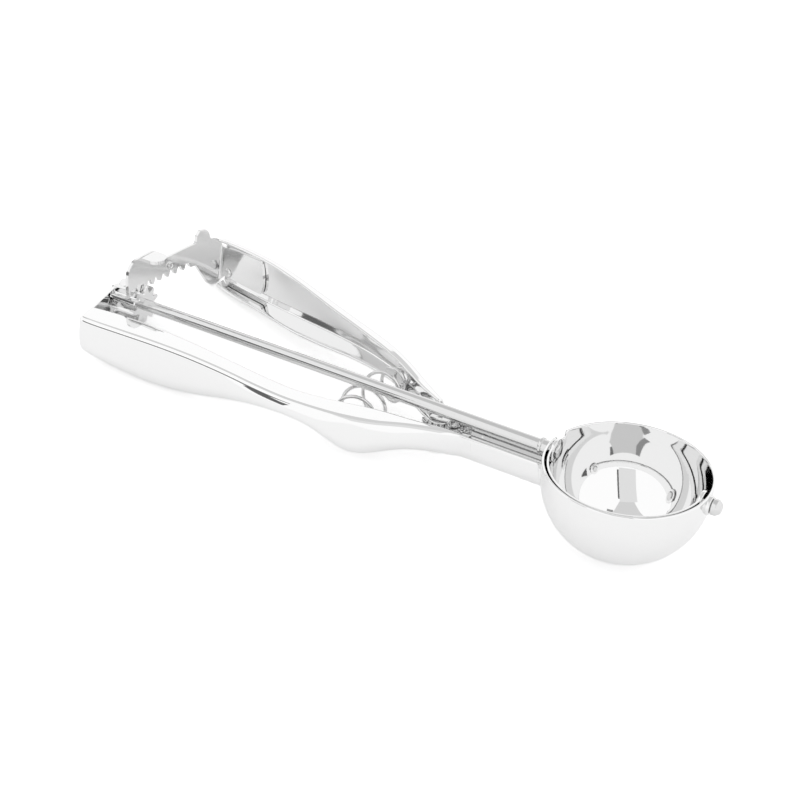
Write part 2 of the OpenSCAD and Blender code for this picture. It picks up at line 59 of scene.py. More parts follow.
bowl = {
    "radius": 25.0, "wall": 0.8, "equator": -1.0, "rim": 3.0,
    "notchWidth": 4.8, "notchDepth": 2.2, "notchTurn": 168.0, "notchLead": 0.5, "notchRamp": 0.7,
}
rod = {"radius": 2.0, "journal": 1.4, "headRadius": 2.3, "headHeight": 0.9, "shoulder": -28.1}
pivotX = -62.5
endX = -190.5
endTilt = 11.0
bossRadius = 3.8
bossLength = 2.53
sheet = 1.0
floorZ = -12.2
leverFloorZ = floorZ + sheet + 0.1


def unit(v):  # v divided by its length, row by row
    v = np.asarray(v, float)
    return v / np.linalg.norm(v, axis=-1, keepdims=True)


rodAxis, pivotAxis = unit(turn["axis"]), unit(squeeze["axis"])
basis = np.stack([rodAxis, np.cross(pivotAxis, rodAxis), pivotAxis])
rodPoint = np.array(turn["pos_m"])
bowlCentre = np.array([0, 0, bowl["radius"] * mm])
origin = rodPoint + rodAxis * np.dot(bowlCentre - rodPoint, rodAxis)


def place(points):  # origin plus the three working coordinates along the three axes
    return origin + (np.asarray(points, float) * mm) @ basis


# Mesh building

def gridFaces(rows, cols, closed, offset=0):  # four-sided faces between neighbouring rows and columns
    r, c = np.meshgrid(np.arange(rows - 1), np.arange(cols if closed else cols - 1), indexing="ij")
    nextC = (c + 1) % cols
    quads = np.stack([r * cols + c, r * cols + nextC, (r + 1) * cols + nextC, (r + 1) * cols + c], -1)
    return (quads.reshape(-1, 4) + offset).tolist()


def ringSolid(rings):
    # A closed solid through rings of n points. Each end is a strip of four-sided faces between
    # the ring's first half and its second half.
    rows, cols = rings.shape[:2]
    faces = gridFaces(rows, cols, True)
    k = np.arange(cols // 2 - 1)
    strip = np.stack([k, k + 1, cols - 2 - k, cols - 1 - k], -1)
    faces += strip[:, ::-1].tolist() + (strip + (rows - 1) * cols).tolist()
    return rings.reshape(-1, 3), faces


def lathed(profile, start, direction, steps=64):
    # Profile points (distance along, radius) turned in full circles about a line from start.
    direction = unit(direction)
    side = unit(np.cross(direction, [0.31, 0.62, 0.72]))
    other = np.cross(direction, side)
    angle = np.linspace(0, 2 * np.pi, steps, endpoint=False)
    circle = np.cos(angle)[:, None] * side + np.sin(angle)[:, None] * other
    profile = np.asarray(profile, float)
    rings = np.asarray(start, float) + profile[:, None, :1] * direction + profile[:, None, 1:] * circle
    return rings.reshape(-1, 3), gridFaces(len(profile), steps, True)


def softened(corners, radius, steps=4):
    # A line through corners with each inner corner replaced by an arc of the given radius,
    # or of what the shorter neighbouring side has room for.
    corners = [np.array(c, float) for c in corners]
    out = [corners[0]]
    for before, here, after in zip(corners, corners[1:], corners[2:]):
        u, v = unit(before - here), unit(after - here)
        half = math.acos(np.clip(np.dot(u, v), -1, 1)) / 2
        if half > 1.55:  # too straight to round
            out.append(here)
            continue
        room = 0.48 * min(np.linalg.norm(before - here), np.linalg.norm(after - here))
        r = min(radius, room * math.tan(half))
        arc = roundCorner(before[None], here[None], after[None], np.array([r]), steps)[0]
        out.extend(arc)
    out.append(corners[-1])
    return np.array(out)


def disc(radius, thickness, soft=0.3):  # a flat round plate's profile, from its middle
    return softened([(0, 0), (0, radius), (thickness, radius), (thickness, 0)], soft)


def head(radius, height, soft=0.35):  # a low domed head's profile, from its flat side
    return softened([(0, 0), (0, radius), (height * 0.6, radius), (height, radius * 0.72), (height, 0)], soft)


def washer(inner, outer, thickness, soft=0.12):  # a closed ring's profile, from the middle of its bore
    return softened([(thickness / 2, inner), (0, inner), (0, outer), (thickness, outer), (thickness, inner),
                     (thickness / 2, inner)], soft)


def roundCorner(a, b, c, radius, steps):
    # Arc tangent to b-a and b-c: its centre lies on the bisector, radius / sin(half angle) from b,
    # and the arm from the centre swings evenly from one tangent point to the other.
    u, v = unit(a - b), unit(c - b)
    half = np.arccos(np.clip((u * v).sum(-1), -1, 1)) / 2
    centre = b + unit(u + v) * (radius / np.sin(half))[:, None]
    reach = (radius / np.tan(half))[:, None]
    start, end = b + u * reach - centre, b + v * reach - centre
    swing = (np.pi - 2 * half)[:, None]
    t = np.linspace(0, 1, steps + 1)[None]
    first, second = np.sin((1 - t) * swing) / np.sin(swing), np.sin(t * swing) / np.sin(swing)
    return centre[:, None] + first[..., None] * start[:, None] + second[..., None] * end[:, None]


def between(a, b, steps):  # evenly spaced points from a to b, for each row
    t = np.linspace(0, 1, steps + 1)[None, :, None]
    return a[:, None] * (1 - t) + b[:, None] * t


def sheetLoops(middle, thickness, capSteps=4):
    # Closed loops round open lines: the line moved by half the thickness to each side,
    # with a half circle round each end. The loop starts in the middle of the first end.
    along = unit(np.gradient(middle, axis=1))
    across = np.stack([-along[..., 1], along[..., 0]], -1)
    half = np.reshape(thickness, (-1, 1, 1)) / 2
    left, right = middle + across * half, middle - across * half
    phi = (np.arange(1, capSteps + 1) / (capSteps + 1) * np.pi)[None, :, None]
    endCap = middle[:, -1:] + half * (across[:, -1:] * np.cos(phi) + along[:, -1:] * np.sin(phi))
    startCap = middle[:, :1] - half * (across[:, :1] * np.cos(phi) + along[:, :1] * np.sin(phi))
    low = capSteps // 2
    return np.concatenate([startCap[:, low:], left, endCap, right[:, ::-1], startCap[:, :low]], 1)


def platePart(outline, thickness, spacing, warp):
    # A flat outline filled with triangles about `spacing` apart, doubled to both faces of the
    # sheet, joined round its edge, and bent into place by warp(u, v, height).
    outline = np.asarray(outline, float)
    low, high = outline.min(0), outline.max(0)
    u, v = np.meshgrid(np.arange(low[0], high[0], spacing), np.arange(low[1], high[1], spacing))
    inner = np.stack([u.ravel() + 0.13, v.ravel() + 0.17], -1)
    a, b = outline, np.roll(outline, -1, 0)
    # A point is inside if a level line from it crosses the outline an odd number of times
    crossing = (a[:, 1] > inner[:, 1:]) != (b[:, 1] > inner[:, 1:])
    rise = np.where(b[:, 1] == a[:, 1], 1e-9, b[:, 1] - a[:, 1])
    inside = crossing & (inner[:, :1] < (b[:, 0] - a[:, 0]) * (inner[:, 1:] - a[:, 1]) / rise + a[:, 0])
    inner = inner[inside.sum(1) % 2 == 1]
    t = np.clip(((inner[:, None] - a) * (b - a)).sum(-1) / ((b - a) ** 2).sum(-1), 0, 1)
    gap = np.linalg.norm(inner[:, None] - a - t[..., None] * (b - a), axis=-1).min(1)
    inner = inner[gap > 0.45 * spacing]
    n = len(outline)
    rim = [(i, (i + 1) % n) for i in range(n)]
    points, _, faces, *_ = geometry.delaunay_2d_cdt(
        [Vector(p) for p in np.vstack([outline, inner])], rim, [list(range(n))], 1, 1e-6)
    flat = np.array([tuple(p) for p in points])
    count = len(flat)
    where = {}
    for new, old in enumerate(sourceOf(points, outline)):
        if old >= 0:
            where[old] = new
    top = warp(flat[:, 0], flat[:, 1], np.full(count, thickness / 2))
    bottom = warp(flat[:, 0], flat[:, 1], np.full(count, -thickness / 2))
    faces = [list(f) for f in faces]
    below = [[i + count for i in reversed(f)] for f in faces]
    walls = [[where[j], where[i], where[i] + count, where[j] + count] for i, j in rim]
    return np.vstack([top, bottom]), faces + below + walls


def sourceOf(points, outline):  # for each filled point, the outline point that it came from, or -1
    flat = np.array([tuple(p) for p in points])
    gap = np.linalg.norm(flat[:, None] - outline[None], axis=-1)
    nearest = gap.argmin(1)
    return np.where(gap[np.arange(len(flat)), nearest] < 1e-5, nearest, -1)


def makePiece(name, parts, material, body, nodes, bevel=0.0, sharp=40.0, bevelAngle=40.0):
    # Parts are (points, faces) in the working frame. Doubles at poles are merged and the faces
    # are turned outwards before the parts become one mesh.
    whole = bmesh.new()
    for points, faces in parts:
        mesh = bpy.data.meshes.new(name)
        mesh.from_pydata(place(points).tolist(), [], faces)
        part = bmesh.new()
        part.from_mesh(mesh)
        bmesh.ops.remove_doubles(part, verts=part.verts, dist=2e-6)
        bmesh.ops.dissolve_degenerate(part, edges=part.edges, dist=1e-6)
        bmesh.ops.recalc_face_normals(part, faces=part.faces)
        part.to_mesh(mesh)
        whole.from_mesh(mesh)
        part.free()
        bpy.data.meshes.remove(mesh)
    mesh = bpy.data.meshes.new(name)
    whole.to_mesh(mesh)
    whole.free()
    mesh.polygons.foreach_set("use_smooth", np.ones(len(mesh.polygons), bool))
    mesh.set_sharp_from_angle(angle=math.radians(sharp))
    piece = bpy.data.objects.new(name, mesh)
    bpy.context.scene.collection.objects.link(piece)
    mesh.materials.append(material)
    if bevel:
        cut = piece.modifiers.new("edges", "BEVEL")
        cut.width = bevel * mm
        cut.segments = 2
        cut.limit_method = "ANGLE"
        cut.angle_limit = math.radians(bevelAngle)
        cut.harden_normals = True
    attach(piece, body)
    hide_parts(*nodes)
    print(name, len(mesh.polygons), "faces")
    return piece


# Materials

def linear(hexColour):  # sRGB hex to linear light
    c = [int(hexColour[i:i + 2], 16) / 255 for i in (1, 3, 5)]
    return [x / 12.92 if x <= 0.04045 else ((x + 0.055) / 1.055) ** 2.4 for x in c] + [1.0]


def addNode(tree, kind, settings=None, inputs=None):
    # Adds a node, sets its properties, and sets or links its inputs
    node = tree.nodes.new(kind)
    for key, value in (settings or {}).items():
        setattr(node, key, value)
    for key, value in (inputs or {}).items():
        if isinstance(value, bpy.types.NodeSocket):
            tree.links.new(value, node.inputs[key])
        else:
            node.inputs[key].default_value = value
    return node


def newMaterial(name):
    material = bpy.data.materials.new(name)
    material.use_nodes = True
    material.node_tree.nodes.clear()
    return material, material.node_tree


def steel(name, look):
    # Cold-rolled stainless sheet. A slow wave keeps the polisher's unevenness in the reflections,
    # a fine streak along the rolling direction gives the grain, and both are worked out from
    # their real sizes.
    material, tree = newMaterial(name)
    where = addNode(tree, "ShaderNodeTexCoord").outputs["Object"]
    wave = addNode(tree, "ShaderNodeTexNoise", {"noise_dimensions": "3D"}, {
        "Vector": where, "Scale": 1 / (look["waveSize"] * mm), "Detail": 1.0})
    stretched = addNode(tree, "ShaderNodeMapping", {}, {
        "Vector": where, "Scale": (1 / (look["grainLength"] * mm),) + (1 / (look["grainWidth"] * mm),) * 2})
    grain = addNode(tree, "ShaderNodeTexNoise", {}, {
        "Vector": stretched.outputs["Vector"], "Scale": 1.0, "Detail": 3.0, "Roughness": 0.6})
    tone = addNode(tree, "ShaderNodeMix", {"data_type": "RGBA"}, {
        "Factor": grain.outputs["Fac"], 6: linear(look["colour"]), 7: linear(look["shade"])})
    polish = addNode(tree, "ShaderNodeMapRange", {}, {
        "Value": grain.outputs["Fac"], "From Min": 0.3, "From Max": 0.7,
        "To Min": look["roughness"] * 0.8, "To Max": look["roughness"] * 1.25})
    slow = addNode(tree, "ShaderNodeBump", {}, {
        "Height": wave.outputs["Fac"], "Strength": 1.0, "Distance": look["waveHeight"] * mm})
    fine = addNode(tree, "ShaderNodeBump", {}, {
        "Height": grain.outputs["Fac"], "Strength": 1.0, "Distance": look["grainHeight"] * mm,
        "Normal": slow.outputs["Normal"]})
    shader = addNode(tree, "ShaderNodeBsdfPrincipled", {}, {
        "Base Color": tone.outputs[2], "Metallic": 1.0, "Roughness": polish.outputs["Result"],
        "Normal": fine.outputs["Normal"]})
    addNode(tree, "ShaderNodeOutputMaterial", {}, {"Surface": shader.outputs["BSDF"]})
    return material


# Buffed to a mirror: clear reflections with a faint wobble
polishedSteel = steel("polishedStainlessSteel", {
    "colour": "#F2F2F2", "shade": "#EEEEEE", "roughness": 0.04,
    "waveSize": 9.0, "waveHeight": 0.004, "grainLength": 3.0, "grainWidth": 0.15, "grainHeight": 0.00003})
# Stamped and barrel-finished: soft reflections and a visible grain
stampedSteel = steel("stampedStainlessSteel", {
    "colour": "#F0F0F0", "shade": "#E4E4E4", "roughness": 0.12,
    "waveSize": 5.0, "waveHeight": 0.004, "grainLength": 1.2, "grainWidth": 0.2, "grainHeight": 0.0006})
# Drawn wire and turned rod: a clean skin with fine lines along it
drawnSteel = steel("drawnStainlessSteel", {
    "colour": "#E2E2E2", "shade": "#D4D4D4", "roughness": 0.08,
    "waveSize": 12.0, "waveHeight": 0.001, "grainLength": 6.0, "grainWidth": 0.12, "grainHeight": 0.0001})
print("materials made")


# Bowl and wiper

def makeBowl():
    # The wall's middle line is a quarter circle from the pole to the equator and a straight band
    # above it. The band is lower within the notch, by a smooth step of the angle round the rim.
    r = bowl["radius"] - bowl["wall"] / 2
    turns = 360
    theta = np.linspace(0, 2 * np.pi, turns, endpoint=False)
    off = np.abs((np.degrees(theta) - bowl["notchTurn"] + 180) % 360 - 180) * np.pi / 180 * r
    step = np.clip((off - bowl["notchWidth"] / 2 + bowl["notchLead"]) / bowl["notchRamp"], 0, 1)
    top = bowl["rim"] - bowl["wall"] / 2 - bowl["notchDepth"] * (1 - step * step * (3 - 2 * step))
    arc = np.linspace(0.0, np.pi / 2, 60)
    curved = np.stack([np.sin(arc) * r, bowl["equator"] - np.cos(arc) * r], -1)
    curved[0, 0] = 0.001
    rise = np.linspace(0, 1, 9)[1:]
    line = np.zeros((turns, len(arc) + len(rise), 2))
    line[:, :len(arc)] = curved
    line[:, len(arc):, 0] = r
    line[:, len(arc):, 1] = bowl["equator"] + rise * (top[:, None] - bowl["equator"])
    cap = 6
    loops = sheetLoops(line, np.full(turns, bowl["wall"]), cap)
    loops = np.roll(loops, -cap // 2, 1)[:, :-cap]  # no cap at the pole, where the faces stay apart
    x = loops[..., 0] * np.cos(theta)[:, None]
    y = loops[..., 0] * np.sin(theta)[:, None]
    points = np.stack([x, y, loops[..., 1]], -1)
    faces = gridFaces(turns + 1, points.shape[1], False)
    points = np.concatenate([points, points[:1]])
    return points.reshape(-1, 3), faces


wiper = {"gap": 0.7, "thickness": 0.7, "width": 5.0, "lugRadius": 3.7, "lugThickness": 1.1, "soft": 0.2,
         "steps": 121}
wiperOuter = bowl["radius"] - bowl["wall"] - wiper["gap"]
lugFace = wiperOuter - wiper["lugThickness"]


def makeWiper():
    # A rounded flat section carried round half a circle, and a disc at each end
    w, inner = wiper["width"] / 2, wiperOuter - wiper["thickness"]
    section = softened([(inner, 0), (inner, w), (wiperOuter, w), (wiperOuter, 0)], wiper["soft"], 5)
    section = np.vstack([section, section[::-1][1:-1] * [1, -1]])
    theta = np.pi + np.linspace(0, np.pi, wiper["steps"])
    rings = np.stack([
        section[None, :, 0] * np.cos(theta)[:, None], section[None, :, 0] * np.sin(theta)[:, None],
        np.broadcast_to(section[None, :, 1], (len(theta), len(section)))], -1)
    lug = disc(wiper["lugRadius"], wiper["lugThickness"], 0.25)
    return [ringSolid(rings), lathed(lug, [lugFace, 0, 0], [1, 0, 0]),
            lathed(lug, [-wiperOuter, 0, 0], [1, 0, 0])]


makePiece("bowlShell", [makeBowl()], polishedSteel, "frame", ["bowl"], sharp=60)
makePiece("wiperBlade", makeWiper(), polishedSteel, "drive", ["wiper_blade"])


# Folded handles

handle = {
    "creaseRadius": 1.6, "bellyRadius": 5.0, "wallLean": 2.0, "crown": 0.12, "smoothing": 2.5,
    "start": -14.0, "end": 124.0, "shearLength": 24.0, "endFold": 1.6, "earRadius": 6.5,
    "armHeight": 9.0, "armReach": 2.5, "armCorner": 1.5,
}
# Distance from the pivot, flat flange's edge, crease, height of the flat flange, depth, narrow flange's edge
fixedStations = np.array([
    [-14, 4.7, 5.25, -3.0, 9.95, 0], [-9.5, 4.7, 5.25, -3.0, 9.95, 0],
    [-6.5, 4.1, 5.9, -2.9, 10.0, 0], [-4, 4.6, 6.7, -2.8, 9.4, 0], [4, 6.6, 9.9, -2.4, 9.8, 0],
    [8, 7.4, 11.8, -2.2, 10.2, 3], [14, 8.0, 15.4, -2.0, 12.2, 9], [20, 9.8, 18.0, -1.6, 14.0, 13],
    [26, 11.8, 19.8, -1.2, 12.8, 15], [34, 14.0, 21.2, -0.8, 7.9, 17], [44, 15.8, 22.2, -0.4, 6.4, 18],
    [56, 15.8, 22.2, 0.3, 8.2, 17.5], [68, 15.2, 21.6, 1.0, 12.0, 17], [82, 14.4, 21.6, 1.8, 15.6, 17],
    [96, 14.2, 22.4, 2.5, 17.2, 17.5], [108, 14.8, 23.8, 3.2, 16.4, 18.5],
    [118, 16.2, 24.9, 3.7, 14.8, 20], [122, 17.2, 25.1, 3.9, 14.1, 21], [124, 18.2, 24.6, 4.0, 13.6, 21],
])
leverStations = np.array([
    [5, 6.0, 11.0, leverFloorZ, 8.4, 8.5], [14, 10.5, 16.0, -10.3, 8.7, 12.0],
    [22, 15.0, 20.0, -8.8, 9.2, 15.5], [30, 17.6, 23.0, -7.6, 10.2, 18.0],
    [44, 19.4, 26.6, -6.4, 11.6, 21.5], [56, 19.4, 28.4, -5.7, 13.6, 23.5],
    [70, 20.8, 30.0, -5.2, 16.6, 26.0], [82, 24.2, 31.8, -5.0, 18.4, 28.5],
    [93, 27.2, 34.0, -5.0, 18.8, 31.0], [104, 30.2, 36.4, -5.0, 18.4, 33.4],
    [114, 34.0, 38.8, -4.8, 17.4, 35.4],
])
lever = {"start": 5.0, "end": 111.6, "lastStation": 113.9, "earRadius": 4.7,
         "armTurn": 130.0, "armLength": 12.0, "armHalf": 3.4}
shank = {"half": 5.3, "belly": 5.2, "from": -6.5, "blend": 3.0, "start": -56.4, "end": -18.0, "top": -3.0,
         "low": -13.0, "bite": 0.2, "stripStart": -61.0, "stripEnd": -56.0, "stripLow": -9.2}
saddle = {"inner": 4.4, "outer": 7.2, "flat": 6.0, "sink": 0.1, "height": 1.0, "soft": 0.5,
          "hollow": 0.9, "hollowFrom": 5.35, "top": -3.1}


def stationValues(rows, d, spread):
    # Cubic curves through the stations, each slope taken from the two neighbours, then averaged
    # over a bell of the given spread so that reflections run on smoothly.
    s = rows[:, 0]
    low, high = np.maximum(np.arange(len(s)) - 1, 0), np.minimum(np.arange(len(s)) + 1, len(s) - 1)
    slope = (rows[high] - rows[low]) / (s[high] - s[low])[:, None]

    def curve(x):
        i = np.clip(np.searchsorted(s, x, "right") - 1, 0, len(s) - 2)
        h, t = (s[i + 1] - s[i])[..., None], ((x - s[i]) / (s[i + 1] - s[i]))[..., None]
        return ((2 * t ** 3 - 3 * t ** 2 + 1) * rows[i] + (t ** 3 - 2 * t ** 2 + t) * h * slope[i]
                + (3 * t ** 2 - 2 * t ** 3) * rows[i + 1] + (t ** 3 - t ** 2) * h * slope[i + 1])
    offsets = np.linspace(-2.5, 2.5, 21)
    weights = np.exp(-offsets ** 2 / 2)
    room = np.minimum(spread, np.minimum(d - s[0], s[-1] - d) / 2.5)
    x = d[:, None] + offsets * np.maximum(room, 0)[:, None]
    return (curve(x) * weights[None, :, None]).sum(1) / weights.sum()


def wallLean(values):
    return np.minimum(handle["wallLean"], 0.3 * np.maximum(values[:, 2] - shank["half"], 0))


def channelLines(values, inset=None):
    # The sheet's middle line across a handle: flat flange, crease, leaning wall, rounded edge
    # and narrow flange, as distance out and depth. Inset moves the wall's side and the two
    # flanges inwards.
    lip, crease, _, deep, foot = values[:, 1:].T
    h = sheet / 2 + (np.zeros(len(values)) if inset is None else inset)
    lean = wallLean(values)
    onShank = np.clip((shank["from"] - values[:, 0]) / shank["blend"], 0, 1)
    fold = np.maximum(np.minimum(handle["creaseRadius"], 0.75 * (crease - lip)) - h, 0.08)
    belly = np.minimum.reduce([np.full(len(values), handle["bellyRadius"]), 0.42 * deep,
                               0.8 * (crease + lean - foot)]) * (1 - onShank) + shank["belly"] * onShank
    belly = np.maximum(belly - h, 0.1)
    a, b = np.stack([lip, h], -1), np.stack([crease - h, h], -1)
    c, e = np.stack([crease + lean - h, deep - h], -1), np.stack([foot, deep - h], -1)
    first, second = roundCorner(a, b, c, fold, 10), roundCorner(b, c, e, belly, 18)
    wall = between(first[:, -1], second[:, 0], 16)[:, 1:-1]
    t = np.linspace(0, 1, 17)[1:-1]
    wall[..., 0] += handle["crown"] * (4 * t * (1 - t))[None]
    return np.concatenate([between(a, first[:, 0], 7)[:, :-1], first, wall, second,
                           between(second[:, -1], e, 5)[:, 1:]], 1)


def shearedX(d, y):
    # Near the end the sections lean over more and more, until the last one lies in the end wall
    share = np.clip((d - handle["end"] + handle["shearLength"]) / handle["shearLength"], 0, 1)[:, None] ** 2
    reach = -endX + pivotX + sheet / 2 - handle["end"]
    return pivotX - d[:, None] - share * (reach + (y + bossRadius) * math.tan(math.radians(endTilt)))


def fixedHandleShell():
    # The wall folds into the end wall round a quarter circle
    fold, steps = handle["endFold"], 7
    phi = np.linspace(0, np.pi / 2, steps + 1)[1:]
    d = np.arange(handle["start"], handle["end"] + 0.01, 1.0)
    values = stationValues(fixedStations, d, handle["smoothing"])
    values = values[values[:, 0] <= handle["end"] - fold]
    last = stationValues(fixedStations, handle["end"] - fold * (1 - np.sin(phi)), handle["smoothing"])
    inset = np.concatenate([np.zeros(len(values)), fold * (1 - np.cos(phi))])
    values = np.concatenate([values, last])
    loops = sheetLoops(channelLines(values, inset), np.full(len(values), sheet))
    y = -loops[..., 0]
    z = values[:, 3, None] - loops[..., 1]
    x = shearedX(values[:, 0], y)
    return ringSolid(np.stack([x, y, z], -1))


def endOutline():
    # Edge of the end wall, as distance out and height: the handle's outline, less the fold,
    # and the arm that crosses over the rod with its round end.
    values = stationValues(fixedStations, np.array([handle["end"]]), handle["smoothing"])
    line = channelLines(values, np.array([handle["endFold"] - sheet / 2]))[0]
    top, r = values[0, 3], handle["armHeight"] / 2
    angle = np.linspace(-np.pi / 2, np.pi / 2, 15)
    arm = np.stack([-handle["armReach"] - r * np.cos(angle), -(top - r) - r * np.sin(angle)], -1)
    corner = [[values[0, 1] - handle["armCorner"], handle["armHeight"] - top]]
    edge = np.stack([line[:, 0], line[:, 1] - top], -1)
    return np.vstack([edge, corner, arm])


def endWall():
    tilt = math.tan(math.radians(endTilt))

    def warp(u, v, h):  # u is the distance out on the near side, v the depth below the rod
        y = -u
        x = endX - sheet / 2 - (y + bossRadius) * tilt + h
        return np.stack([x, y, -v], -1)
    return platePart(resampled(endOutline(), 0.8), sheet, 1.6, warp)


def resampled(outline, spacing):  # a closed outline with its long sides cut into equal steps
    out = []
    for a, b in zip(outline, np.roll(outline, -1, 0)):
        count = max(1, int(round(np.linalg.norm(b - a) / spacing)))
        out.extend(a + (b - a) * k / count for k in range(count))
    out = np.array(out)
    keep = np.linalg.norm(out - np.roll(out, 1, 0), axis=1) > 1e-3
    return out[keep]


def shankSheet():
    # A straight U of sheet: two walls and a half circle, ended on the bowl's sphere
    start, r = shank["start"], shank["half"] - sheet / 2
    middle = shank["low"] + shank["half"]
    phi = np.linspace(0, np.pi, 33)
    arc = np.stack([-r * np.cos(phi), middle - r * np.sin(phi)], -1)
    walls = np.linspace(shank["top"] - sheet / 2, middle, 8)[:-1]
    near = np.stack([np.full(len(walls), -r), walls], -1)
    line = np.vstack([near, arc, near[::-1] * [-1, 1]])
    loop = sheetLoops(line[None], np.array([sheet]))[0]
    y, z = loop.T
    sphere = bowl["radius"] - shank["bite"]
    touch = -np.sqrt(np.maximum(sphere ** 2 - y ** 2 - (z - bowl["equator"]) ** 2, 1))
    share = np.linspace(0, 1, 30)[:, None]
    x = start + (np.minimum(touch, shank["end"]) - start) * share
    return ringSolid(np.stack([x, np.broadcast_to(y, x.shape), np.broadcast_to(z, x.shape)], -1))


def upperStrip():  # the shank's far wall runs on past the neck, above the lever's arm
    z = np.linspace(shank["stripLow"], shank["top"] - sheet / 2, 9)
    line = np.stack([np.full(len(z), shank["half"] - sheet / 2), z], -1)
    loop = sheetLoops(line[None], np.array([sheet]))[0]
    x = np.linspace(shank["stripStart"], shank["stripEnd"], 6)[:, None]
    return ringSolid(np.stack(np.broadcast_arrays(x, loop[:, 0], loop[:, 1]), -1))


def saddleFlange():
    # A rim on the bowl's sphere round the shank. Its section, as distance from the shank's middle
    # line and height above the sphere's centre, has a hollow round corner against the shank.
    r0, r1 = bowl["radius"] - saddle["sink"], bowl["radius"] + saddle["height"]
    inner, outer, hollow = saddle["inner"], saddle["outer"], saddle["hollow"]
    lip = softened([(outer, r0), (outer, r1), (saddle["flat"], r1)], saddle["soft"], 5)[1:]
    a = np.linspace(np.pi / 2, 0, 7)
    corner = np.stack([saddle["hollowFrom"] + hollow * (1 - np.cos(a)), r1 + hollow * (1 - np.sin(a))], -1)
    section = np.vstack([[(inner, r0), (outer, r0)], lip, corner, [(inner, r1 + hollow)]])
    middle = shank["low"] + shank["half"]
    wall = np.linspace(saddle["top"], middle, 10)[:-1]
    phi = np.linspace(np.pi, 2 * np.pi, 49)
    centre = np.vstack([np.stack([0 * wall, wall], -1), np.stack([0 * phi, middle + 0 * phi], -1),
                        np.stack([0 * wall, wall[::-1]], -1)])
    out = np.vstack([np.tile([-1.0, 0.0], (len(wall), 1)), np.stack([np.cos(phi), np.sin(phi)], -1),
                     np.tile([1.0, 0.0], (len(wall), 1))])
    yz = centre[:, None] + out[:, None] * section[None, :, :1]
    height = section[None, :, 1]
    x = -np.sqrt(height ** 2 - yz[..., 0] ** 2 - (yz[..., 1] - bowl["equator"]) ** 2)
    rings = np.stack([x, yz[..., 0], yz[..., 1]], -1)
    count = rings.shape[1]
    faces = gridFaces(len(rings), count, True)
    faces += [list(range(count))[::-1], [(len(rings) - 1) * count + k for k in range(count)]]
    return rings.reshape(-1, 3), faces


def makeFixedHandle():
    return [
        fixedHandleShell(), endWall(), lathed(disc(bossRadius, bossLength, 0.4), [endX, 0, 0], [-1, 0, 0]),
        shankSheet(), upperStrip(), saddleFlange(),
        lathed(disc(handle["earRadius"], sheet), [pivotX, 0, floorZ], [0, 0, 1]),
    ]


def leverWall(d, z):  # the lever's inner wall at a place and height, as distance out
    values = stationValues(leverStations, d, handle["smoothing"])
    slope = wallLean(values) / (values[:, 4] - 2 * sheet)
    return values[:, 2] - sheet + slope * (z - values[:, 3] - sheet)


def makeLever():
    start, end = lever["start"], lever["end"]
    d = np.concatenate([[start, start + 0.3], np.arange(start + 1, end - 0.5, 1.0), [end - 0.3, end]])
    values = stationValues(leverStations, np.minimum(d, lever["lastStation"]), handle["smoothing"])
    values[:, 0] = d
    thickness = np.full(len(d), sheet)
    thickness[[0, -1]] = sheet * 0.5
    loops = sheetLoops(channelLines(values), thickness)
    x = np.broadcast_to(pivotX - d[:, None], loops.shape[:2])
    shell = ringSolid(np.stack([x, loops[..., 0], values[:, 3, None] + loops[..., 1]], -1))
    armTurn, armLength, armHalf = math.radians(lever["armTurn"]), lever["armLength"], lever["armHalf"]
    out = np.array([math.cos(armTurn), math.sin(armTurn), 0])
    side = np.array([-out[1], out[0], 0])
    corner = softened([(0, -armHalf), (armLength, -armHalf), (armLength, armHalf), (0, armHalf)], 0.5)
    base = np.array([pivotX, 0, leverFloorZ])
    arm = platePart(resampled(corner, 1.0), sheet, 1.5, lambda u, v, h: (
        base + u[:, None] * out + v[:, None] * side + (h + sheet / 2)[:, None] * [0, 0, 1]))
    return [shell, arm, lathed(disc(lever["earRadius"], sheet), base, [0, 0, 1])]


makePiece("fixedHandle", makeFixedHandle(), polishedSteel, "frame", ["fixed_handle"])
makePiece("leverHandle", makeLever(), polishedSteel, "lever", ["lever_handle"])
print("handles made")


# Rack, pinion and rod

rack = {
    "radius": 118.8, "thickness": 1.2, "bar": 4.8, "spaces": 8, "module": 1.15, "teeth": 10,
    "addendum": 0.85, "dedendum": 1.2, "backlash": 0.6, "tabHeight": 17.0, "hookHeight": 17.4,
    "tabStart": 0.6, "tabWidth": 7.2, "tabReach": 8.0, "tabBend": 1.2, "tabDrop": 0.35,
    "tipOut": 34.6, "tipLow": -5.0,
    "tongueLength": 22.0, "tongueGap": 0.15, "tongueLow": -1.6, "tongueHigh": 10.3,
    "foldStart": 35.2, "foldRadius": 1.6, "lobeRadius": 6.0, "bevel": 0.22,
    "studOut": 14.6, "studHeight": 8.9, "onWall": 111.0, "wallLimit": 112.5, "tongueFrom": 112.4,
    "tongueRound": 1.8,
}
pitchRadius = rack["teeth"] * rack["module"] / 2
pitch = math.pi * rack["module"]
flank = math.tan(math.radians(20))
rootZ = pitchRadius + rack["dedendum"]
barTop = rootZ + rack["bar"]
firstSpace = 0.8 - pitch
freeEnd = firstSpace - 3.6
tongueEnd = rack["tongueFrom"] - rack["tongueLength"]


